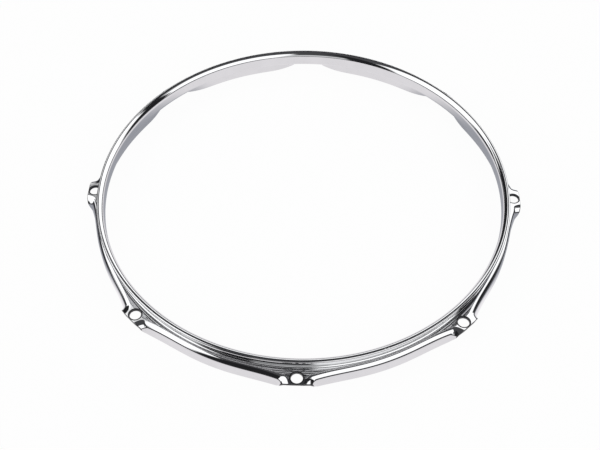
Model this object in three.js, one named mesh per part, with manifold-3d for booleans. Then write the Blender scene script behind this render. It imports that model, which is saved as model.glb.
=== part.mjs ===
// Pressed steel drum hoop for a 14 inch drum head, of the triple-flanged kind with eight ears.
// One strip of sheet steel is rolled to a ring, butt welded, pressed to its section and chrome plated.
// The section has three flanges: a lip that rolls outward at the top, a flat shoulder that turns outward
// below the wall, and a skirt that folds down from the shoulder between the ears.
// Towards each ear the skirt's fold line sweeps outward, then hooks straight out to the strip's edge, so
// that the sheet stays flat there and takes the hole of a tension rod. The fold runs on round the ear's
// sides, and the skirt's lower edge climbs to meet them.
// Lengths are in millimetres and angles in radians. +Z points up to the lip, the hoop's axis is the
// Z axis, Z = 0 is the plane that the skirts stand on, and one ear points along -Y.

import * as THREE from 'three';
import { mergeVertices } from 'three/addons/utils/BufferGeometryUtils.js';
import Module from 'manifold-3d';

// Sizes of the strip and its section. Bend radii are those of the outer side of each bend,
// but the shoulder's is that of the hollow between the wall and the shoulder
const sheetThickness = 2.3;
const hoopHeight = 27.2;
const openingRadius = 179.7;
const lipWidth = 6.3;
const lipBendRadius = 5.3;
const shoulderDrop = 13.1;
const shoulderBendRadius = 1.85;
const foldRadius = 5.1;
const skirtStandoff = 9.3;

// Sizes of the ears. Half widths are measured from an ear's middle, round the circle of the rods.
// Along an ear's sides the fold's bend is drawn out wider than it is deep
const earCount = 8;
const earReach = 8.95;
const earFlatHalfWidth = 5.3;
const earSideFoldRadius = 7.2;
const earCornerInset = 1.1;
const sweepReach = 6.55;
const sweepLength = 68;
const sweepPower = 4;
const hookLength = 4.8;
const hookPower = 3;
const skirtEndHalfWidth = 12;
const skirtEndClimb = 2.8;
const rodHoleInset = 6.05;
const rodHoleDiameter = 9.6;
const cutOverrun = 2;

// Sizes of the weld. Its crown stands proud only on the inside of the wall: elsewhere it is ground flush
const weldWidth = 3;
const weldCrown = 0.25;

// Facets
const lipBendSteps = 3;
const shoulderBendSteps = 2;
const foldSteps = 4;
const bandParts = foldSteps + 2;
const earSteps = 4;
const skirtEndSteps = 3;
const sweepSteps = 5;
const sweepSpreadPower = 1.55;
const holeSides = 28;
const searchSteps = 30;
const slopeProbeShare = 0.03;

const quarterTurn = Math.PI / 2;
const earPitch = 2 * Math.PI / earCount;
const frontAngle = -quarterTurn;
const weldAngle = frontAngle + earPitch / 2;
const halfSheet = sheetThickness / 2;
const lipOuterRadius = openingRadius + lipWidth;
const skirtOuterRadius = openingRadius + skirtStandoff;
const earTipRadius = skirtOuterRadius + earReach;
const rodCircleRadius = earTipRadius - rodHoleInset;

// The sheet's middle surface, from which each face lies half a thickness away.
// Depths are measured down from the lip's top
const wallRadius = openingRadius + halfSheet;
const lipMiddleBend = lipBendRadius - halfSheet;
const shoulderMiddleBend = shoulderBendRadius + halfSheet;
const foldMiddleBend = foldRadius - halfSheet;
const earSideMiddleBend = earSideFoldRadius - halfSheet;
const bandStartRadius = wallRadius + shoulderMiddleBend;
const bandDepth = shoulderDrop + halfSheet;
const foldStartRadius = skirtOuterRadius - foldRadius;

const skirtDrop = hoopHeight - bandDepth - foldMiddleBend;
const hookReach = earTipRadius - foldStartRadius - sweepReach;

const halfWeldTurn = weldWidth / 2 / rodCircleRadius;
const slopeProbe = halfWeldTurn * slopeProbeShare;

const wasm = await Module();
wasm.setup();

// How far round from the middle of the nearest ear an angle lies
function besideEar(angle) {
  const turned = angle - frontAngle;
  return Math.abs(turned - Math.round(turned / earPitch) * earPitch) * rodCircleRadius;
}

// Falls from 1 at the edge of an ear's flat to 0 a length farther round, and rises above 1 inside the ear
function falloff(beside, length, power) {
  return Math.pow(Math.max(1 - (beside - earFlatHalfWidth) / length, 0), power);
}

// Radius at which the sheet has turned down by an angle. The fold line is its place without a turn.
// The bend shifts its sweep outward, and its hook both outward and away from the ear
function bendRadiusAt(beside, turn) {
  const hooked = beside - earSideMiddleBend * Math.sin(turn);
  return foldStartRadius + foldMiddleBend * Math.sin(turn)
    + sweepReach * falloff(beside, sweepLength, sweepPower) + hookReach * falloff(hooked, hookLength, hookPower);
}

function bendDepth(turn) {
  return foldMiddleBend * (1 - Math.cos(turn));
}

// Largest turn for which a rising measure stays within a limit
function turnWithin(measure, limit) {
  let low = 0;
  let high = quarterTurn;
  for (let step = 0; step < searchSteps; step++) {
    const turn = (low + high) / 2;
    if (measure(turn) < limit) {
      low = turn;
    } else {
      high = turn;
    }
  }
  return low;
}

// Points of the band's middle surface, which is the sheet outside the shoulder's bend: flat to the fold,
// round the fold, then straight down. Places on it are measured along the steps out and down to them.
// It ends at the ear's tip or sides, or else at the skirt's lower edge
function bandAt(angle) {
  const beside = besideEar(angle);
  const along = (turn) => bendRadiusAt(beside, turn) - bandStartRadius + bendDepth(turn);
  const cornerShare = Math.max(beside - earFlatHalfWidth, 0) / (skirtEndHalfWidth - earFlatHalfWidth);
  const tipRadius = earTipRadius - earCornerInset * Math.pow(Math.min(cornerShare, 1), 2);
  const climbShare = Math.min(Math.max(1 - (beside - skirtEndHalfWidth) / skirtEndClimb, 0), 1);
  let edge = along(quarterTurn) + skirtDrop * (1 - Math.pow(climbShare, 2));
  if (bendRadiusAt(beside, quarterTurn) > tipRadius) {
    const last = turnWithin((turn) => bendRadiusAt(beside, turn), tipRadius);
    edge = tipRadius - bandStartRadius + bendDepth(last);
  }
  const points = [];
  for (let part = 1; part <= bandParts; part++) {
    const folded = along(Math.min(part - 1, foldSteps) * quarterTurn / foldSteps);
    const place = part < bandParts ? Math.min(folded, edge * part / bandParts) : edge;
    const turn = turnWithin(along, place);
    points.push(new THREE.Vector2(
      turn > 0 ? bendRadiusAt(beside, turn) : bandStartRadius + place,
      bandDepth + bendDepth(turn) + Math.max(place - along(quarterTurn), 0),
    ));
  }
  return points;
}

// Middle line of the section at an angle, as radius and depth, from the lip's edge to the strip's edge
function sectionAt(angle) {
  const points = [new THREE.Vector2(lipOuterRadius, halfSheet)];
  for (let step = 0; step <= lipBendSteps; step++) {
    const turn = quarterTurn * step / lipBendSteps;
    points.push(new THREE.Vector2(
      wallRadius + lipMiddleBend * (1 - Math.sin(turn)),
      halfSheet + lipMiddleBend * (1 - Math.cos(turn)),
    ));
  }
  for (let step = 0; step <= shoulderBendSteps; step++) {
    const turn = quarterTurn * step / shoulderBendSteps;
    points.push(new THREE.Vector2(
      wallRadius + shoulderMiddleBend * (1 - Math.cos(turn)),
      bandDepth - shoulderMiddleBend * (1 - Math.sin(turn)),
    ));
  }
  return points.concat(bandAt(angle));
}

// The same line in space
function middleLine(angle) {
  return sectionAt(angle).map(({ x: radius, y: depth }) =>
    new THREE.Vector3(radius * Math.cos(angle), radius * Math.sin(angle), hoopHeight - depth));
}

// Both faces of the sheet at an angle. The inner face holds the opening, the lip's top and the underside
// of the band. Corners of the line are mitred, so that the flats beside them keep the sheet's thickness
function facesAt(angle) {
  const line = middleLine(angle);
  const before = middleLine(angle - slopeProbe);
  const after = middleLine(angle + slopeProbe);
  const inner = [];
  const outer = [];
  line.forEach((point, index) => {
    const arriving = point.clone().sub(line[Math.max(index - 1, 0)]).normalize();
    const leaving = line[Math.min(index + 1, line.length - 1)].clone().sub(point).normalize();
    const along = arriving.clone().add(leaving).normalize();
    const across = after[index].clone().sub(before[index]);
    const normal = across.cross(along).normalize();
    const reach = halfSheet / along.dot(index > 0 ? arriving : leaving);
    inner.push(point.clone().addScaledVector(normal, reach));
    outer.push(point.clone().addScaledVector(normal, -reach));
  });
  return { inner, outer };
}

// A closed body through the sheet's faces at each angle, capped at its two ends. Each patch is split
// along its shorter diagonal, so that both sides of an ear turn out alike
function sheetBody(faces) {
  const count = faces[0].inner.length;
  const loops = faces.map(({ inner, outer }) => inner.concat(outer.toReversed()));
  const size = loops[0].length;
  const points = loops.flat();
  const indices = [];
  const addPatch = (a, b, c, d) => {
    if (points[a].distanceTo(points[c]) < points[b].distanceTo(points[d])) {
      indices.push(a, b, c, a, c, d);
    } else {
      indices.push(a, b, d, b, c, d);
    }
  };
  for (let start = 0; start < points.length - size; start += size) {
    for (let j = 0; j < size; j++) {
      const k = (j + 1) % size;
      addPatch(start + j, start + size + j, start + size + k, start + k);
    }
  }
  const last = points.length - size;
  for (let j = 0; j < count - 1; j++) {
    const across = size - 1 - j;
    addPatch(j, j + 1, across - 1, across);
    addPatch(last + across, last + across - 1, last + j + 1, last + j);
  }
  const geometry = new THREE.BufferGeometry();
  geometry.setAttribute('position', new THREE.Float32BufferAttribute(points.flatMap((p) => p.toArray()), 3));
  geometry.setIndex(indices);
  return geometry;
}

function toSolid(geometry) {
  const bare = geometry.clone();
  bare.deleteAttribute('normal');
  bare.deleteAttribute('uv');
  const merged = mergeVertices(bare);
  const triVerts = new Uint32Array(merged.index.array);
  return new wasm.Manifold(new wasm.Mesh({
    numProp: 3,
    vertProperties: merged.attributes.position.array,
    triVerts,
  }));
}

function toGeometry(solid) {
  const mesh = solid.getMesh();
  const geometry = new THREE.BufferGeometry();
  geometry.setAttribute('position', new THREE.BufferAttribute(mesh.vertProperties, 3));
  geometry.setIndex(new THREE.BufferAttribute(mesh.triVerts, 1));
  return geometry;
}

// Turns from an ear's middle to the sections on one side of it: ever closer from its flat's edge to its
// corner, evenly spaced to where the skirt has its full height, then ever wider
function turnsFromEar() {
  const skirtFull = skirtEndHalfWidth + skirtEndClimb;
  const halfPitch = earPitch / 2 * rodCircleRadius;
  const places = [];
  for (let step = 0; step < earSteps; step++) {
    const share = Math.sin(quarterTurn * step / earSteps);
    places.push(earFlatHalfWidth + (skirtEndHalfWidth - earFlatHalfWidth) * share);
  }
  for (let step = 0; step < skirtEndSteps; step++) {
    places.push(skirtEndHalfWidth + skirtEndClimb * step / skirtEndSteps);
  }
  for (let step = 0; step <= sweepSteps; step++) {
    places.push(skirtFull + (halfPitch - skirtFull) * Math.pow(step / sweepSteps, sweepSpreadPower));
  }
  return places.map((place) => place / rodCircleRadius);
}

// Angles of the strip's sections from one side of the weld round to the other
function stripAngles() {
  const turns = turnsFromEar();
  const angles = [];
  for (let ear = 1; ear <= earCount; ear++) {
    const middle = frontAngle + ear * earPitch;
    angles.push(...turns.map((turn) => middle - turn).reverse());
    angles.push(...turns.slice(0, -1).map((turn) => middle + turn));
  }
  angles[0] = weldAngle + halfWeldTurn;
  angles.push(weldAngle - halfWeldTurn + 2 * Math.PI);
  return angles;
}

// A hole for a tension rod through each ear
function cutRodHoles(strip) {
  const depth = sheetThickness + 2 * cutOverrun;
  const cutter = new THREE.CylinderGeometry(rodHoleDiameter / 2, rodHoleDiameter / 2, depth, holeSides);
  cutter.rotateX(quarterTurn);
  cutter.translate(rodCircleRadius, 0, hoopHeight - bandDepth);
  let cut = strip;
  for (let ear = 0; ear < earCount; ear++) {
    const turned = cutter.clone().rotateZ(frontAngle + ear * earPitch);
    cut = cut.subtract(toSolid(turned));
  }
  return cut;
}

function makeStrip() {
  const strip = toSolid(sheetBody(stripAngles().map(facesAt)));
  const plated = new THREE.MeshStandardMaterial({ color: 0xd9dbde, roughness: 0.08, metalness: 1 });
  const mesh = new THREE.Mesh(toGeometry(cutRodHoles(strip)), plated);
  mesh.name = 'hoop_strip';
  return mesh;
}

// The weld bead fills the gap between the strip's ends. Its middle is raised on the inside of the wall
function makeWeld() {
  const ends = [weldAngle - halfWeldTurn, weldAngle + halfWeldTurn].map(facesAt);
  const middle = facesAt(weldAngle);
  const wallTop = lipBendSteps + 1;
  const inward = new THREE.Vector3(-Math.cos(weldAngle), -Math.sin(weldAngle), 0);
  for (const point of middle.inner.slice(wallTop, wallTop + 2)) {
    point.addScaledVector(inward, weldCrown);
  }
  const plated = new THREE.MeshStandardMaterial({ color: 0xcfd2d6, roughness: 0.16, metalness: 1 });
  const mesh = new THREE.Mesh(sheetBody([ends[0], middle, ends[1]]), plated);
  mesh.name = 'seam_weld';
  return mesh;
}

const hoop = new THREE.Group();
hoop.add(makeStrip(), makeWeld());

export default hoop;
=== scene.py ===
# Looks of a chrome plated drum hoop with eight ears, on a plain white floor in a small photo studio.
# The pressed steel strip and its weld are made again with a fine surface and rounded edges. They have the
# sizes of the solids that they stand for, but beside the ears the skirts rise and lean outward gently.
# Lengths are in metres, and angles in radians where nothing else is said. +Z points up to the lip and one
# ear points along -Y. Azimuths are turned from -Y, where the camera stands, and grow towards +X.

import math

import bpy
import numpy as np
from mathutils import Matrix, Vector


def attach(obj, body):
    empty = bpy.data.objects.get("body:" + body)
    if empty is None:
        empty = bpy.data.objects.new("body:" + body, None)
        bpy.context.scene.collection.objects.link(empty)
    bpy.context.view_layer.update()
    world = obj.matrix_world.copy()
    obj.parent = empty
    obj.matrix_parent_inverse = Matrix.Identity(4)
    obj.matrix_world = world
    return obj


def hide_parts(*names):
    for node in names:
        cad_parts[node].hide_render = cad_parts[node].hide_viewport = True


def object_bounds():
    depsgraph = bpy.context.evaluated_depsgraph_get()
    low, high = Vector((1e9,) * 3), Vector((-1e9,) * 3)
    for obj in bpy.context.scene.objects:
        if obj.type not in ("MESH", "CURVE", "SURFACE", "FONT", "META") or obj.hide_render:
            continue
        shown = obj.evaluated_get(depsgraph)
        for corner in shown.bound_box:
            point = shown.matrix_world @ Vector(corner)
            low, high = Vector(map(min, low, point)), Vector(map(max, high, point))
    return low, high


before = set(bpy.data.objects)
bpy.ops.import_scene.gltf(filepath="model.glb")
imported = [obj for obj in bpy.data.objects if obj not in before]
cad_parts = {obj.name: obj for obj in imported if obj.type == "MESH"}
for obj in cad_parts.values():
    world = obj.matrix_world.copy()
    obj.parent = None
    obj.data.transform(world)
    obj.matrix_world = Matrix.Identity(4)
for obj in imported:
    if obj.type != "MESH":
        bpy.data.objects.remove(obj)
cad_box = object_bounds()

# Sizes of the strip and its section, as the solids have them
SHEET = 0.0023
HOOP_HEIGHT = cad_box[1].z - cad_box[0].z
OPENING_RADIUS = 0.1797
LIP_OUTER_RADIUS = 0.186
LIP_BEND_RADIUS = 0.0053
SHOULDER_DROP = 0.0131
SHOULDER_BEND_RADIUS = 0.00185
FOLD_RADIUS = 0.0051
SKIRT_OUTER_RADIUS = 0.189

# Sizes of the ears. The fold line sweeps outward towards an ear, then hooks out to the strip's edge
EAR_COUNT = 8
EAR_TIP_RADIUS = 0.19795
EAR_FLAT_HALF_WIDTH = 0.0053
EAR_SIDE_FOLD_RADIUS = 0.0072
EAR_CORNER_INSET = 0.0011
SWEEP_REACH = 0.0079
SWEEP_LENGTH = 0.062
SWEEP_POWER = 3.8
HOOK_LENGTH = 0.0048
HOOK_POWER = 3
ROD_CIRCLE_RADIUS = 0.1919
ROD_HOLE_RADIUS = 0.0048

# Where a skirt ends beside an ear. Its lower edge rises and it leans outward over the rise's length, and
# then the edge climbs round the end corner to the ear
SKIRT_END_HALF_WIDTH = 0.012
SKIRT_END_CLIMB = 0.0042
SKIRT_RISE = 0.0035
SKIRT_RISE_LENGTH = 0.028
SKIRT_LEAN = math.radians(10.5)

# Sizes of the weld
WELD_WIDTH = 0.003
WELD_CROWN = 0.00025

# Rounding of the sheet's edges and of the holes, punched from above
LIP_EDGE_RADIUS = 0.0010
STRIP_EDGE_RADIUS = 0.0005
HOLE_TOP_ROUNDING = 0.0006
HOLE_BOTTOM_ROUNDING = 0.00015

# Fineness of the mesh. The patch is the part of an ear's grid that makes room for the hole, and the probe
# is the small turn by which the surface's slope round the hoop is measured
LIP_FLAT_STEPS = 3
LIP_BEND_STEPS = 14
WALL_STEPS = 6
SHOULDER_BEND_STEPS = 8
BAND_STEPS = 44
EDGE_STEPS = 4
PATCH_HALF_WIDTH = 0.0055
PATCH_COLUMNS = 14
SIDE_COLUMNS = 52
SIDE_CROWDING = 3.4
WELD_COLUMNS = 10
BLEND_RINGS = 4
ROUNDING_RINGS = 5
WALL_RINGS = 3
SEARCH_STEPS = 30
SLOPE_PROBE = 1e-5

# Points round the sheet's section: on one face, round one edge, and in the whole loop
FACE_POINTS = LIP_FLAT_STEPS + LIP_BEND_STEPS + WALL_STEPS + SHOULDER_BEND_STEPS + BAND_STEPS + 1
EDGE_POINTS = 2 * EDGE_STEPS
LOOP_POINTS = 2 * (FACE_POINTS + EDGE_POINTS)

# Angles and middle surface sizes that follow from these. A bend's size is its radius at the middle surface
QUARTER = math.pi / 2
EAR_PITCH = 2 * math.pi / EAR_COUNT
FRONT_ANGLE = -QUARTER
WELD_ANGLE = FRONT_ANGLE + EAR_PITCH / 2
HALF_WELD_TURN = WELD_WIDTH / 2 / ROD_CIRCLE_RADIUS
HALF_FLAT_TURN = EAR_FLAT_HALF_WIDTH / ROD_CIRCLE_RADIUS
HALF_SHEET = SHEET / 2
WALL_RADIUS = OPENING_RADIUS + HALF_SHEET
LIP_BEND = LIP_BEND_RADIUS - HALF_SHEET
SHOULDER_BEND = SHOULDER_BEND_RADIUS + HALF_SHEET
FOLD_BEND = FOLD_RADIUS - HALF_SHEET
EAR_SIDE_BEND = EAR_SIDE_FOLD_RADIUS - HALF_SHEET
BAND_START_RADIUS = WALL_RADIUS + SHOULDER_BEND
BAND_DEPTH = SHOULDER_DROP + HALF_SHEET
FOLD_START_RADIUS = SKIRT_OUTER_RADIUS - FOLD_RADIUS
EAR_BAND_WIDTH = EAR_TIP_RADIUS - BAND_START_RADIUS
HOOK_REACH = EAR_TIP_RADIUS - FOLD_START_RADIUS - SWEEP_REACH

# The camera, fitted to the photograph's frame. It aims at a point level with the lip's top, and its lens
# and sensor are in millimetres
CAMERA_DISTANCE = 0.84908
CAMERA_ELEVATION = math.radians(48.2614)
CAMERA_AZIMUTH = math.radians(1.4463)
CAMERA_ROLL = math.radians(-0.1584)
CAMERA_AIM = (-0.001585, -0.047194)
CAMERA_LENS = 56.149
CAMERA_SENSOR = 36


# Shape of the strip

def falloff(beside, length, power):
    """Falls from 1 at the edge of an ear's flat to 0 a length farther round, and rises above 1 inside it."""
    return np.maximum(1 - (beside - EAR_FLAT_HALF_WIDTH) / length, 0) ** power


def bend_radius(beside, turn):
    """Radius at which the sheet has turned down by an angle, a distance round from an ear's middle."""
    bent = FOLD_START_RADIUS + FOLD_BEND * np.sin(turn)
    swept = SWEEP_REACH * falloff(beside, SWEEP_LENGTH, SWEEP_POWER)
    hook_beside = beside - EAR_SIDE_BEND * np.sin(turn)
    return bent + swept + HOOK_REACH * falloff(hook_beside, HOOK_LENGTH, HOOK_POWER)


def bend_depth(turn):
    """How far the sheet has come down where it has turned by an angle."""
    return FOLD_BEND * (1 - np.cos(turn))


def bend_slope(beside, turn):
    """How far the sheet runs outward and downward for each step along it, at a turn of the bend."""
    hook_beside = beside - EAR_SIDE_BEND * np.sin(turn)
    hook_slope = HOOK_REACH * HOOK_POWER / HOOK_LENGTH * falloff(hook_beside, HOOK_LENGTH, HOOK_POWER - 1)
    outward = (FOLD_BEND + EAR_SIDE_BEND * hook_slope) * np.cos(turn)
    downward = FOLD_BEND * np.sin(turn)
    length = np.hypot(outward, downward)
    return outward / length, downward / length


def turn_within(measure, limit):
    """Largest turn for which a rising measure stays within a limit."""
    low = np.zeros(limit.shape)
    high = low + QUARTER
    for _ in range(SEARCH_STEPS):
        turn = (low + high) / 2
        within = measure(turn) < limit
        low = np.where(within, turn, low)
        high = np.where(within, high, turn)
    return low


def ear_tip(from_ear, beside):
    """Radius at which the ears' ends are cut: straight over the flat, and drawn in towards the corners."""
    straight = math.cos(HALF_FLAT_TURN) / np.cos(np.minimum(np.abs(from_ear), HALF_FLAT_TURN))
    corner_width = SKIRT_END_HALF_WIDTH - EAR_FLAT_HALF_WIDTH
    corner_share = np.clip((beside - EAR_FLAT_HALF_WIDTH) / corner_width, 0, 1)
    return EAR_TIP_RADIUS * straight - EAR_CORNER_INSET * corner_share ** 2


def skirt(beside):
    """The turn at which the fold runs on into the skirt, and how far down the skirt reaches from there."""
    from_end = beside - SKIRT_END_HALF_WIDTH
    nearness = np.clip(1 - from_end / SKIRT_RISE_LENGTH, 0, 1) ** 2
    turn = QUARTER - SKIRT_LEAN * nearness
    drop = HOOP_HEIGHT - BAND_DEPTH - bend_depth(turn) - SKIRT_RISE * nearness
    climb = np.clip(1 - from_end / SKIRT_END_CLIMB, 0, 1)
    return turn, drop * (1 - climb ** 2)


def band(angle):
    """Radius, depth and slope of the band's middle surface, one row for each angle: flat to the fold, round
    the fold, then down the skirt. Places on it are measured along the steps out and down to them. It ends at
    the ear's tip or sides, or else at the skirt's lower edge."""
    turned = angle - FRONT_ANGLE
    from_ear = (turned - np.round(turned / EAR_PITCH) * EAR_PITCH)[:, None]
    beside = np.abs(from_ear) * ROD_CIRCLE_RADIUS

    def along(turn):
        return bend_radius(beside, turn) - BAND_START_RADIUS + bend_depth(turn)

    tip = ear_tip(from_ear, beside)
    last_turn = turn_within(lambda turn: bend_radius(beside, turn), tip)
    side_edge = tip - BAND_START_RADIUS + bend_depth(last_turn)
    skirt_turn, skirt_drop = skirt(beside)
    skirt_outward, skirt_downward = bend_slope(beside, skirt_turn)
    lower_edge = along(skirt_turn) + skirt_drop * (1 + skirt_outward / skirt_downward)
    edge = np.where(bend_radius(beside, skirt_turn) > tip, side_edge, lower_edge) - STRIP_EDGE_RADIUS
    place = edge * np.arange(1, BAND_STEPS + 1) / BAND_STEPS
    turn = np.minimum(turn_within(along, place), skirt_turn)
    down_skirt = np.maximum(place - along(skirt_turn), 0) / (skirt_outward + skirt_downward)
    radius = np.where(turn > 0, bend_radius(beside, turn), BAND_START_RADIUS + place)
    depth = BAND_DEPTH + bend_depth(turn)
    slope = bend_slope(beside, turn)
    return radius + down_skirt * skirt_outward, depth + down_skirt * skirt_downward, *slope


def section(angle):
    """Points of the strip's middle surface from the lip's edge to the strip's edge, and its slope there,
    as rows of radius, depth, outward and downward, one set for each angle."""
    lip_start = LIP_OUTER_RADIUS - LIP_EDGE_RADIUS
    lip = np.linspace(lip_start, WALL_RADIUS + LIP_BEND, LIP_FLAT_STEPS, endpoint=False)
    rows = [(radius, HALF_SHEET, -1, 0) for radius in lip]
    for turn in np.linspace(0, QUARTER, LIP_BEND_STEPS + 1):
        radius = WALL_RADIUS + LIP_BEND * (1 - math.sin(turn))
        depth = HALF_SHEET + LIP_BEND * (1 - math.cos(turn))
        rows.append((radius, depth, -math.cos(turn), math.sin(turn)))
    wall = np.linspace(HALF_SHEET + LIP_BEND, BAND_DEPTH - SHOULDER_BEND, WALL_STEPS + 1)
    rows += [(WALL_RADIUS, depth, 0, 1) for depth in wall[1:-1]]
    for turn in np.linspace(0, QUARTER, SHOULDER_BEND_STEPS + 1):
        radius = WALL_RADIUS + SHOULDER_BEND * (1 - math.cos(turn))
        depth = BAND_DEPTH - SHOULDER_BEND * (1 - math.sin(turn))
        rows.append((radius, depth, math.sin(turn), math.cos(turn)))
    fixed = np.array(rows).T[:, None, :] * np.ones((1, len(angle), 1))
    return np.concatenate([fixed, np.array(band(angle))], axis=2)


def in_space(angle, radius, height):
    """Points at an angle about the hoop's axis, a radius and a height."""
    return np.stack([radius * np.cos(angle), radius * np.sin(angle), height + 0 * radius * angle], axis=-1)


def sheet_loops(angle):
    """Closed loops of points and normals round the sheet's section, one for each angle. A loop runs along
    the inner face from the lip to the strip's edge, round that edge, back along the outer face and round the
    lip's edge. The inner face is the lip's top, the inside of the wall and skirts, and the shoulder's
    underside."""
    column = angle[:, None]

    def middle_at(probe):
        radius, depth, *_ = section(angle + probe)
        return in_space(column + probe, radius, HOOP_HEIGHT - depth)

    middle = middle_at(0)
    _, _, outward, downward = section(angle)
    along = in_space(column, outward, -downward)
    normal = np.cross(middle_at(SLOPE_PROBE) - middle_at(-SLOPE_PROBE), along)
    normal /= np.linalg.norm(normal, axis=2, keepdims=True)
    squared = np.cross(normal, np.cross(along, normal))

    def edge(index, direction, rounding):
        """Points and normals round one edge of the sheet, from the inner face to the outer."""
        points, normals = [], []
        for side in (1, -1):
            turns = np.linspace(0, QUARTER, EDGE_STEPS + 1)[1:]
            turns = turns if side > 0 else QUARTER * 2 - turns[::-1]
            for turn in turns:
                facing = squared[:, index] * direction * math.sin(turn) + normal[:, index] * math.cos(turn)
                core = middle[:, index] + normal[:, index] * side * (HALF_SHEET - rounding)
                points.append(core + facing * rounding)
                normals.append(facing)
        return np.stack(points, 1), np.stack(normals, 1)

    bottom, bottom_normals = edge(-1, 1, STRIP_EDGE_RADIUS)
    top, top_normals = edge(0, -1, LIP_EDGE_RADIUS)
    points = [middle + normal * HALF_SHEET, bottom, (middle - normal * HALF_SHEET)[:, ::-1], top[:, ::-1]]
    normals = [normal, bottom_normals, -normal[:, ::-1], top_normals[:, ::-1]]
    return np.concatenate(points, 1), np.concatenate(normals, 1)


class Surface:
    """A growing mesh of points, their normals and faces."""

    def __init__(self):
        self.points = []
        self.normals = []
        self.faces = []

    def add(self, points, normals):
        """Adds points with their normals, and returns their indices in the shape of the grid."""
        start = len(self.points)
        self.points.extend(points.reshape(-1, 3))
        self.normals.extend(normals.reshape(-1, 3))
        return start + np.arange(points[..., 0].size).reshape(points.shape[:-1])

    def add_strips(self, first, second):
        """Joins two rows of indices with a closed strip of quads."""
        for a, b, c, d in zip(first, second, np.roll(second, -1), np.roll(first, -1)):
            self.faces.append((int(a), int(b), int(c), int(d)))

    def make(self, name, material):
        """The finished object, shaded by its true normals."""
        mesh = bpy.data.meshes.new(name)
        mesh.from_pydata([tuple(p) for p in self.points], [], self.faces)
        mesh.update()
        mesh.shade_smooth()
        mesh.normals_split_custom_set_from_vertices([tuple(n) for n in self.normals])
        mesh.materials.append(material)
        made = bpy.data.objects.new(name, mesh)
        bpy.context.scene.collection.objects.link(made)
        return made


def cap_end(surface, loop, facing_on):
    """Closes one end of the sheet: quads between its two faces, and one face over each rounded edge."""
    inner, bottom, outer, top = np.split(loop, np.cumsum([FACE_POINTS, EDGE_POINTS, FACE_POINTS]))
    outer = outer[::-1]
    faces = [(inner[i], inner[i + 1], outer[i + 1], outer[i]) for i in range(FACE_POINTS - 1)]
    faces.append((inner[-1], *bottom, outer[-1]))
    faces.append((outer[0], *top, inner[0]))
    for face in faces:
        face = tuple(int(i) for i in face)
        surface.faces.append(face if facing_on else face[::-1])


def half_pitch_turns():
    """Turns from an ear's middle to the columns beside its patch, ever wider apart."""
    patch = PATCH_HALF_WIDTH / ROD_CIRCLE_RADIUS
    steps = np.arange(1, SIDE_COLUMNS + 1) / SIDE_COLUMNS
    spread = np.sinh(SIDE_CROWDING * steps) / math.sinh(SIDE_CROWDING)
    return patch + (EAR_PITCH / 2 - patch) * spread


def strip_columns():
    """Angles of the strip's columns from one side of the weld round to the other, and the column on which
    each ear's patch starts."""
    turns = half_pitch_turns()
    patch = np.linspace(-PATCH_HALF_WIDTH, PATCH_HALF_WIDTH, PATCH_COLUMNS + 1) / ROD_CIRCLE_RADIUS
    angles = []
    patches = []
    for ear in range(1, EAR_COUNT + 1):
        middle = FRONT_ANGLE + ear * EAR_PITCH
        angles.extend(middle - turns[::-1])
        patches.append((len(angles), middle))
        angles.extend(middle + patch)
        angles.extend(middle + turns[:-1])
    angles[0] = WELD_ANGLE + HALF_WELD_TURN
    angles.append(WELD_ANGLE - HALF_WELD_TURN + 2 * math.pi)
    return np.array(angles), patches


def hole_rings(square, ear):
    """Rings of points and normals from the patch's rim on the shoulder's top, round the hole's upper edge,
    down the hole, and out to the rim on the underside. The rim is given as points of the top."""
    centre = np.array([ROD_CIRCLE_RADIUS * math.cos(ear), ROD_CIRCLE_RADIUS * math.sin(ear), 0])
    from_centre = square - centre
    away = np.hypot(from_centre[:, 0], from_centre[:, 1])
    spoke = np.stack([from_centre[:, 0] / away, from_centre[:, 1] / away, 0 * away], 1)
    up = np.array([0, 0, 1.0])
    top = HOOP_HEIGHT - SHOULDER_DROP
    bottom = top - SHEET
    rings = []

    def add_ring(radius, height, normal):
        rings.append((centre + spoke * np.reshape(radius, (-1, 1)) + up * height, normal + 0 * spoke))

    for step in range(1, BLEND_RINGS):
        share = step / BLEND_RINGS
        add_ring(away + (ROD_HOLE_RADIUS + HOLE_TOP_ROUNDING - away) * share, top, up)
    for turn in np.linspace(0, QUARTER, ROUNDING_RINGS + 1):
        radius = ROD_HOLE_RADIUS + HOLE_TOP_ROUNDING * (1 - math.sin(turn))
        height = top - HOLE_TOP_ROUNDING * (1 - math.cos(turn))
        add_ring(radius, height, up * math.cos(turn) - spoke * math.sin(turn))
    wall = np.linspace(top - HOLE_TOP_ROUNDING, bottom + HOLE_BOTTOM_ROUNDING, WALL_RINGS + 1)
    for height in wall[1:-1]:
        add_ring(ROD_HOLE_RADIUS, height, -spoke)
    for turn in np.linspace(QUARTER, 0, ROUNDING_RINGS + 1):
        radius = ROD_HOLE_RADIUS + HOLE_BOTTOM_ROUNDING * (1 - math.sin(turn))
        height = bottom + HOLE_BOTTOM_ROUNDING * (1 - math.cos(turn))
        add_ring(radius, height, -up * math.cos(turn) - spoke * math.sin(turn))
    for step in range(BLEND_RINGS - 1, 0, -1):
        share = step / BLEND_RINGS
        add_ring(away + (ROD_HOLE_RADIUS + HOLE_BOTTOM_ROUNDING - away) * share, bottom, -up)
    return rings


def patch_rows():
    """First and last row of an ear's patch, counted on the inner face."""
    flat_start = FACE_POINTS - 1 - BAND_STEPS
    row_width = (EAR_BAND_WIDTH - STRIP_EDGE_RADIUS) / BAND_STEPS
    middle = (ROD_CIRCLE_RADIUS - BAND_START_RADIUS) / row_width
    half = PATCH_HALF_WIDTH / row_width
    return flat_start + math.floor(middle - half), flat_start + math.ceil(middle + half)


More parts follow.
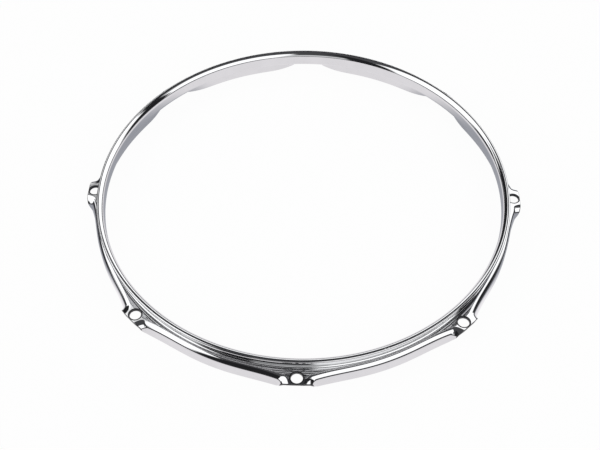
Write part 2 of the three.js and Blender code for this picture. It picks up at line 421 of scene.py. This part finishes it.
def rim(grid, columns, rows):
    """Indices round the rim of a patch of the grid."""
    first, last = columns
    low, high = rows
    return np.concatenate([
        grid[first:last, low], grid[last, low:high],
        grid[last:first:-1, high], grid[first, high:low:-1],
    ])


def make_strip(material):
    """The pressed strip: a grid of loops round the hoop, with the rod holes in the ears' patches."""
    surface = Surface()
    angles, patches = strip_columns()
    grid = surface.add(*sheet_loops(angles))
    low, high = patch_rows()
    outer_end = LOOP_POINTS - 1 - EDGE_POINTS
    open_rows = set(range(low, high)) | set(range(outer_end - high, outer_end - low))
    open_columns = {first + step for first, _ in patches for step in range(PATCH_COLUMNS)}
    for column in range(len(angles) - 1):
        for row in range(LOOP_POINTS):
            if column in open_columns and row in open_rows:
                continue
            following = (row + 1) % LOOP_POINTS
            corners = (grid[column, row], grid[column, following],
                       grid[column + 1, following], grid[column + 1, row])
            surface.faces.append(tuple(int(i) for i in corners[::-1]))
    cap_end(surface, grid[0], True)
    cap_end(surface, grid[-1], False)
    for first, ear in patches:
        columns = (first, first + PATCH_COLUMNS)
        under = rim(grid, columns, (low, high))
        over = rim(grid[:, ::-1], columns, (low + EDGE_POINTS, high + EDGE_POINTS))
        square = np.array([surface.points[i] for i in over])
        rings = [surface.add(points, normals) for points, normals in hole_rings(square, ear)]
        rows = [over, *rings, under]
        for one, two in zip(rows, rows[1:]):
            surface.add_strips(one, two)
    return surface.make("chrome_hoop_strip", material)


def make_weld(material):
    """The weld bead between the strip's ends, ground flush but for its crown on the inside of the wall."""
    surface = Surface()
    angles = np.linspace(WELD_ANGLE - HALF_WELD_TURN, WELD_ANGLE + HALF_WELD_TURN, WELD_COLUMNS + 1)
    points, normals = sheet_loops(angles)
    share = np.linspace(-1, 1, WELD_COLUMNS + 1)
    crown = WELD_CROWN * np.cos(share * QUARTER) ** 2
    inward = -in_space(angles, np.ones(len(angles)), 0)
    wall_start = LIP_FLAT_STEPS + LIP_BEND_STEPS
    points[:, wall_start:wall_start + WALL_STEPS + 1] += (inward * crown[:, None])[:, None, :]
    grid = surface.add(points, normals)
    for column in range(WELD_COLUMNS):
        surface.add_strips(grid[column], grid[column + 1])
    cap_end(surface, grid[0], True)
    cap_end(surface, grid[-1], False)
    return surface.make("chrome_seam_weld", material)


# Materials

# The plating on the two pieces: its tint where it is clean and where it is hazy, its lowest and highest
# roughness, and the strength of its ripple
STRIP_PLATING = {"tint": (0.71, 0.715, 0.72, 1), "hazy_tint": (0.69, 0.695, 0.70, 1),
                 "roughness": (0.03, 0.07), "ripple": 0.02}
WELD_PLATING = {"tint": (0.70, 0.705, 0.71, 1), "hazy_tint": (0.67, 0.675, 0.68, 1),
                "roughness": (0.05, 0.12), "ripple": 0.05}

# The polishing lines are noise drawn out round the hoop: a whole radian counts for a few millimetres in it
LINE_SCALE = 2600.0
LINE_DETAIL = 3.0
LINE_TURN_WEIGHT = 0.004
LINE_BUMP = 0.004
LINE_HEIGHT = 0.00002

# The haze, its share in the roughness beside the lines, and the range in which these take effect
HAZE_SCALE = 55.0
HAZE_DETAIL = 4.0
HAZE_SHARE = 0.6
HAZE_RANGE = (0.35, 0.65)

# The ripple that pressing leaves
RIPPLE_SCALE = 26.0
RIPPLE_DETAIL = 1.0
RIPPLE_HEIGHT = 0.0004

# The sheared metal at the ears' ends and in the rod holes, with a rim round them that the punch drew in.
# It is duller, and its near black colour is painted shade
CUT_SHADE_TINT = (0.06, 0.06, 0.063, 1)
CUT_ROUGHNESS = 0.3
CUT_DEPTH = 0.0005
CUT_RIM = 0.0015
CUT_FADE = 0.0004


class Nodes:
    """Makes and joins the nodes of one node tree."""

    def __init__(self, tree):
        self.tree = tree

    def add(self, kind, **inputs):
        """A node with its inputs set or joined, and its attributes given by lower case names."""
        node = self.tree.nodes.new(kind)
        for name, value in inputs.items():
            if name[0].islower():
                setattr(node, name, value)
        for name, value in inputs.items():
            if not name[0].islower():
                self.put(node.inputs[name.replace("_", " ")], value)
        return node

    def put(self, socket, value):
        """Sets a socket to a value, or joins another socket to it."""
        if isinstance(value, bpy.types.NodeSocket):
            self.tree.links.new(value, socket)
        else:
            socket.default_value = value

    def calc(self, operation, *values):
        """The result of a math node."""
        node = self.tree.nodes.new("ShaderNodeMath")
        node.operation = operation
        for socket, value in zip(node.inputs, values):
            self.put(socket, value)
        return node.outputs[0]

    def weigh(self, first, first_weight, second, second_weight):
        """The sum of two numbers, each times its weight."""
        one = self.calc("MULTIPLY", first, first_weight)
        two = self.calc("MULTIPLY", second, second_weight)
        return self.calc("ADD", one, two)

    def distance(self, across, along):
        """The length of a line from how far it runs both ways."""
        return self.calc("SQRT", self.weigh(across, across, along, along))

    def mix(self, share, first, second):
        """One number turned into another by a share."""
        return self.calc("ADD", first, self.calc("MULTIPLY", share, self.calc("SUBTRACT", second, first)))

    def ease(self, value, low, high, start=0.0, end=1.0):
        """Goes smoothly from start at low to end at high."""
        return self.add(
            "ShaderNodeMapRange", interpolation_type="SMOOTHSTEP",
            Value=value, From_Min=low, From_Max=high, To_Min=start, To_Max=end,
        ).outputs[0]

    def blend(self, share, first, second):
        """One colour blended into another by a share."""
        node = self.add("ShaderNodeMix", data_type="RGBA")
        self.put(node.inputs[0], share)
        self.put(node.inputs[6], first)
        self.put(node.inputs[7], second)
        return node.outputs[2]


def new_material(name):
    """An empty material and the maker of its nodes."""
    material = bpy.data.materials.new(name)
    material.use_nodes = True
    material.node_tree.nodes.clear()
    return material, Nodes(material.node_tree)


def cut_shade_mask(nodes, radius, around):
    """Is 1 on the sheared metal, in the rod holes and on their rims and along the ears' ends, where painted
    shade darkens the plating, and fades to 0 beside it."""
    from_ear = nodes.calc("PINGPONG", nodes.calc("SUBTRACT", around, FRONT_ANGLE), EAR_PITCH / 2)
    outward = nodes.calc("MULTIPLY", radius, nodes.calc("COSINE", from_ear))
    aside = nodes.calc("MULTIPLY", radius, nodes.calc("SINE", from_ear))
    from_hole = nodes.distance(nodes.calc("SUBTRACT", outward, ROD_CIRCLE_RADIUS), aside)
    rim_radius = ROD_HOLE_RADIUS + CUT_RIM
    in_hole = nodes.ease(from_hole, rim_radius, rim_radius - CUT_FADE)
    beside = nodes.calc("MULTIPLY", from_ear, ROD_CIRCLE_RADIUS)
    corner_root = nodes.add(
        "ShaderNodeMapRange", Value=beside, From_Min=EAR_FLAT_HALF_WIDTH, From_Max=SKIRT_END_HALF_WIDTH,
        To_Max=math.sqrt(EAR_CORNER_INSET),
    ).outputs[0]
    reach = nodes.calc("ADD", radius, nodes.calc("MULTIPLY", corner_root, corner_root))
    end = EAR_TIP_RADIUS - CUT_DEPTH
    at_end = nodes.ease(reach, end, end + CUT_FADE)
    return nodes.calc("MAXIMUM", in_hole, at_end)


def noise(nodes, place, scale, detail):
    """The value of a noise texture at a place."""
    return nodes.add("ShaderNodeTexNoise", Vector=place, Scale=scale, Detail=detail).outputs[0]


def bump(nodes, height, strength, distance, **normal):
    """The normal of a surface raised by a height, on top of another normal if one is given."""
    raised = nodes.add("ShaderNodeBump", Strength=strength, Distance=distance, Height=height, **normal)
    return raised.outputs[0]


def chrome(name, tint, hazy_tint, roughness, ripple):
    """Chrome plating: nearly a mirror, with fine polishing lines that run round the hoop, faint haze
    and the slight ripple that pressing leaves, and painted shade on the cut metal."""
    material, nodes = new_material(name)
    place = nodes.add("ShaderNodeTexCoord").outputs["Object"]
    x, y, z = nodes.add("ShaderNodeSeparateXYZ", Vector=place).outputs
    radius = nodes.distance(x, y)
    around = nodes.calc("ARCTAN2", y, x)
    turned = nodes.calc("MULTIPLY", around, LINE_TURN_WEIGHT)
    drawn_out = nodes.add("ShaderNodeCombineXYZ", X=radius, Y=z, Z=turned).outputs[0]
    lines = noise(nodes, drawn_out, LINE_SCALE, LINE_DETAIL)
    haze = noise(nodes, place, HAZE_SCALE, HAZE_DETAIL)
    waves = noise(nodes, place, RIPPLE_SCALE, RIPPLE_DETAIL)
    # Painted shade: the cut metal in and round the rod holes and at the ears' ends is painted nearly black
    cut = cut_shade_mask(nodes, radius, around)
    uneven = nodes.weigh(haze, HAZE_SHARE, lines, 1 - HAZE_SHARE)
    plated_roughness = nodes.ease(uneven, *HAZE_RANGE, *roughness)
    plated_tint = nodes.blend(nodes.ease(haze, *HAZE_RANGE), tint, hazy_tint)
    fine = bump(nodes, lines, LINE_BUMP, LINE_HEIGHT)
    shader = nodes.add(
        "ShaderNodeBsdfPrincipled", Base_Color=nodes.blend(cut, plated_tint, CUT_SHADE_TINT), Metallic=1.0,
        Roughness=nodes.mix(cut, plated_roughness, CUT_ROUGHNESS),
        Normal=bump(nodes, waves, ripple, RIPPLE_HEIGHT, Normal=fine),
    )
    nodes.add("ShaderNodeOutputMaterial", Surface=shader.outputs[0])
    return material


# Stage

WHITE = (1, 1, 1, 1)

# What stands round the hoop in the studio, as the plating mirrors it: white panels and dark things, each
# painted over those before it, and the first over the dark ceiling. A thing has the azimuth of its middle,
# its half width, the height angles of its straight lower and upper edges seen square on, how softly its
# sides and its edges fade, all in degrees, and its colour
PANEL_WHITE = (1.55, 1.55, 1.56, 1)
DARK_GREY = (0.05, 0.05, 0.055, 1)
BLACK = (0.02, 0.02, 0.022, 1)
CEILING = (0.08, 0.08, 0.085, 1)
STUDIO = {
    "pale ceiling on the right": {"azimuth": 78, "half_width": 70, "low": 13, "high": 66,
                                  "side_fade": 70, "end_fade": 6, "colour": (0.5, 0.5, 0.51, 1)},
    "right panel": {"azimuth": 50, "half_width": 42, "low": 13, "high": 68,
                    "side_fade": 8, "end_fade": 3, "colour": PANEL_WHITE},
    "left panel": {"azimuth": -105, "half_width": 57, "low": 13, "high": 70,
                   "side_fade": 8, "end_fade": 3, "colour": PANEL_WHITE},
    "dark frame of the panel behind": {"azimuth": 151, "half_width": 74, "low": 13, "high": 64,
                                       "side_fade": 6, "end_fade": 2, "colour": BLACK},
    "panel behind": {"azimuth": 155, "half_width": 44, "low": 13, "high": 58,
                     "side_fade": 10, "end_fade": 2, "colour": PANEL_WHITE},
    "dark thing before the panel behind": {"azimuth": 180, "half_width": 10, "low": 27, "high": 57,
                                           "side_fade": 4, "end_fade": 5, "colour": DARK_GREY},
    "dark top of that thing": {"azimuth": -173, "half_width": 7, "low": 50, "high": 65,
                               "side_fade": 5, "end_fade": 4, "colour": DARK_GREY},
    "dark corner on the left": {"azimuth": -140, "half_width": 16, "low": 12, "high": 46,
                                "side_fade": 6, "end_fade": 5, "colour": BLACK},
    "dark stand on the left": {"azimuth": -109, "half_width": 10, "low": -8, "high": 25,
                               "side_fade": 8, "end_fade": 4, "colour": DARK_GREY},
    "low light before the camera": {"azimuth": -5, "half_width": 18, "low": 9, "high": 33,
                                    "side_fade": 6, "end_fade": 10, "colour": (0.8, 0.8, 0.81, 1)},
    "dark stand beside the camera": {"azimuth": -34, "half_width": 12, "low": -8, "high": 80,
                                     "side_fade": 5, "end_fade": 6, "colour": BLACK},
}

# The table's white top, as the plating mirrors it. Painted shade turns it bluish grey towards the sides,
# from nearer the middle the farther behind, and it ends in the dark. Each change has the distances at which
# it starts and ends
TABLE_WHITE = (1, 0.972, 1, 1)
TABLE_SIDE_SHADE = (0.42, 0.43, 0.475, 1)
TABLE_END = (0.03, 0.03, 0.033, 1)
TABLE_SIDES = (0.13, 0.168)
TABLE_SLANT = 0.25
TABLE_REACH = (0.222, 0.234)

# The floor is white paper that mostly glows where the camera or the plating sees it. The share that
# doesn't glow takes the hoop's shadow
FLOOR_HALF_WIDTH = 6.0
FLOOR_PAPER = (0.9, 0.9, 0.9, 1)
FLOOR_GLOW_SHARE = 0.96


def make_world():
    """The studio as the plating mirrors it, with a white background for the camera itself."""
    world = bpy.data.worlds.new("studio")
    world.use_nodes = True
    world.node_tree.nodes.clear()
    nodes = Nodes(world.node_tree)
    direction = nodes.add("ShaderNodeTexCoord").outputs["Generated"]
    x, y, z = nodes.add("ShaderNodeSeparateXYZ", Vector=direction).outputs
    shown = CEILING
    for name, thing in STUDIO.items():
        middle = math.radians(thing["azimuth"])
        forward = nodes.weigh(x, math.sin(middle), y, -math.cos(middle))
        sideways = nodes.weigh(x, math.cos(middle), y, math.sin(middle))
        off = nodes.calc("ABSOLUTE", nodes.calc("DEGREES", nodes.calc("ARCTAN2", sideways, forward)))
        rise = nodes.calc("DEGREES", nodes.calc("ARCTAN2", z, forward))
        side = thing["side_fade"] / 2
        end = thing["end_fade"] / 2
        mask = nodes.ease(off, thing["half_width"] + side, thing["half_width"] - side)
        mask = nodes.calc("MULTIPLY", mask, nodes.ease(rise, thing["low"] - end, thing["low"] + end))
        mask = nodes.calc("MULTIPLY", mask, nodes.ease(rise, thing["high"] + end, thing["high"] - end))
        shown = nodes.blend(mask, shown, thing["colour"])
        shown.node.label = name
    seen = nodes.add("ShaderNodeLightPath").outputs["Is Camera Ray"]
    background = nodes.add("ShaderNodeBackground", Color=nodes.blend(seen, shown, WHITE), Strength=1.0)
    nodes.add("ShaderNodeOutputWorld", Surface=background.outputs[0])
    bpy.context.scene.world = world


def floor_material():
    """White paper with the hoop's soft shadow for the camera, and for the plating the table's top, with
    painted shade at its sides.
    """
    material, nodes = new_material("white_floor")
    path = nodes.add("ShaderNodeLightPath").outputs
    place = nodes.add("ShaderNodeTexCoord").outputs["Object"]
    x, y = nodes.add("ShaderNodeSeparateXYZ", Vector=place).outputs[:2]
    side = nodes.calc("ADD", nodes.calc("ABSOLUTE", x), nodes.calc("MULTIPLY", y, TABLE_SLANT))
    # Painted shade: the table's top turns bluish grey towards the sides
    top = nodes.blend(nodes.ease(side, *TABLE_SIDES), TABLE_WHITE, TABLE_SIDE_SHADE)
    mirrored = nodes.blend(nodes.ease(nodes.distance(x, y), *TABLE_REACH), top, TABLE_END)
    shown = nodes.blend(path["Is Glossy Ray"], WHITE, mirrored)
    looked_at = nodes.calc("MAXIMUM", path["Is Camera Ray"], path["Is Glossy Ray"])
    mix = nodes.add("ShaderNodeMixShader", Fac=nodes.calc("MULTIPLY", looked_at, FLOOR_GLOW_SHARE))
    nodes.put(mix.inputs[1], nodes.add("ShaderNodeBsdfDiffuse", Color=FLOOR_PAPER).outputs[0])
    nodes.put(mix.inputs[2], nodes.add("ShaderNodeEmission", Color=shown, Strength=1.0).outputs[0])
    nodes.add("ShaderNodeOutputMaterial", Surface=mix.outputs[0])
    return material


def make_floor():
    half = FLOOR_HALF_WIDTH
    corners = [(-half, -half, 0), (half, -half, 0), (half, half, 0), (-half, half, 0)]
    mesh = bpy.data.meshes.new("floor")
    mesh.from_pydata(corners, [], [(0, 1, 2, 3)])
    mesh.materials.append(floor_material())
    floor = bpy.data.objects.new("floor", mesh)
    bpy.context.scene.collection.objects.link(floor)


def make_camera():
    data = bpy.data.cameras.new("camera")
    data.lens = CAMERA_LENS
    data.sensor_width = CAMERA_SENSOR
    camera = bpy.data.objects.new("camera", data)
    bpy.context.scene.collection.objects.link(camera)
    level = math.cos(CAMERA_ELEVATION)
    camera.location = (
        CAMERA_DISTANCE * level * math.sin(CAMERA_AZIMUTH),
        -CAMERA_DISTANCE * level * math.cos(CAMERA_AZIMUTH),
        HOOP_HEIGHT + CAMERA_DISTANCE * math.sin(CAMERA_ELEVATION),
    )
    aim = Vector((*CAMERA_AIM, HOOP_HEIGHT)) - camera.location
    turned = aim.to_track_quat("-Z", "Y").to_matrix() @ Matrix.Rotation(CAMERA_ROLL, 3, "Z")
    camera.rotation_euler = turned.to_euler()
    bpy.context.scene.camera = camera


make_camera()
make_world()
make_floor()
bpy.context.scene.view_settings.view_transform = "Standard"

strip = make_strip(chrome("chrome", **STRIP_PLATING))
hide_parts("hoop_strip")
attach(strip, "root")

weld = make_weld(chrome("chrome_weld", **WELD_PLATING))
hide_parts("seam_weld")
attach(weld, "root")
